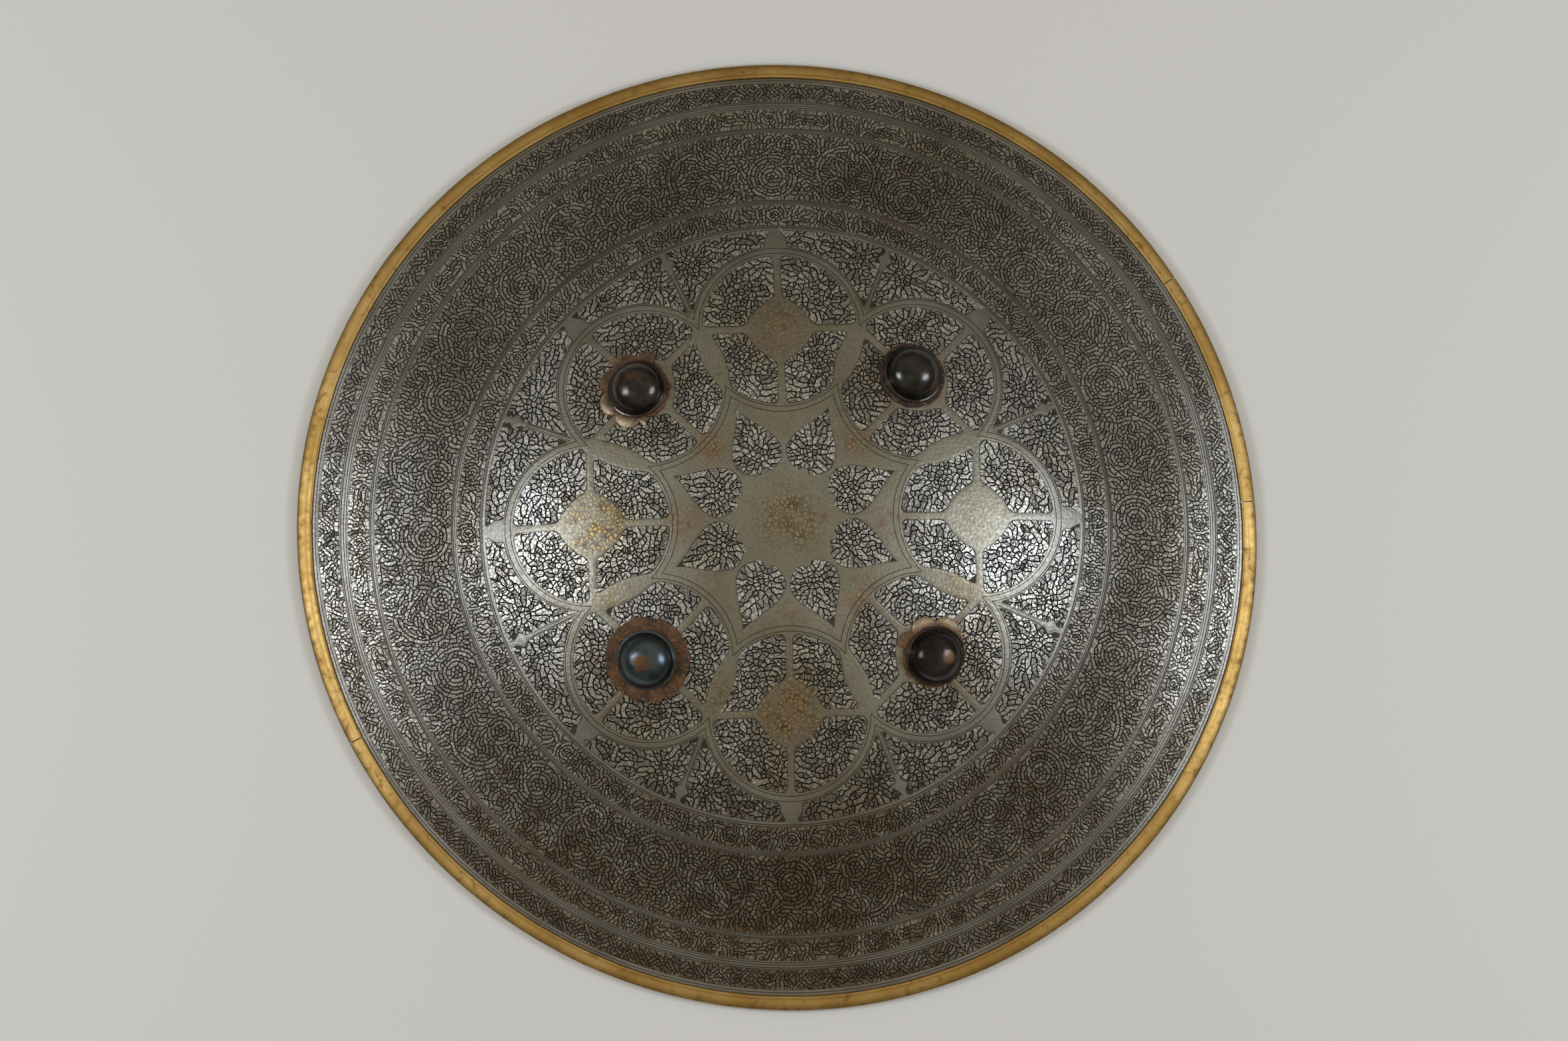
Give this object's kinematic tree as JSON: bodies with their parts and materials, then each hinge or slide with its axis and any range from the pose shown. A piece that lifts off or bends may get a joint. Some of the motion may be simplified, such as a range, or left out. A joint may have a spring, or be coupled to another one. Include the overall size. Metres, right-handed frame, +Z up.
{
  "type": "round steel shield (dhal)",
  "caption": "Round convex steel shield with engraved foliage, domed rivet bosses and a brass binding folded over its rim.",
  "frame": {"origin": "centre of the rim, in the plane of the binding's underside, where the shield stands face up", "axes": "+Z up through the crown of the bowl; +Y towards the two upper bosses; +X towards the two right bosses"},
  "size_m": [0.3719, 0.368, 0.07],
  "materials": {
    "engraved_steel": "engraved and matted, dark patina with light rust",
    "boss_steel": "polished, darkened",
    "rusted_iron": "rusted",
    "brass_binding": "polished by hand, tarnished in the hollows"
  },
  "bodies": {
    "root": {"bowl": "engraved_steel", "rim_binding_upper": "brass_binding", "rim_binding_lower": "brass_binding", "rim_binding_repair_piece": "brass_binding", "boss_northwest": "boss_steel", "washer_northwest": "rusted_iron", "rove_northwest": "rusted_iron", "boss_northeast": "boss_steel", "washer_northeast": "rusted_iron", "rove_northeast": "rusted_iron", "boss_southwest": "boss_steel", "washer_southwest": "rusted_iron", "rove_southwest": "rusted_iron", "boss_southeast": "boss_steel", "washer_southeast": "rusted_iron", "rove_southeast": "rusted_iron", "rim_pin_1": "rusted_iron", "rim_pin_2": "rusted_iron", "rim_pin_3": "rusted_iron", "rim_pin_4": "rusted_iron", "rim_pin_5": "rusted_iron", "rim_pin_6": "rusted_iron", "rim_pin_7": "rusted_iron", "rim_pin_8": "rusted_iron", "rim_pin_9": "rusted_iron", "rim_pin_10": "rusted_iron"}
  },
  "joints": []
}
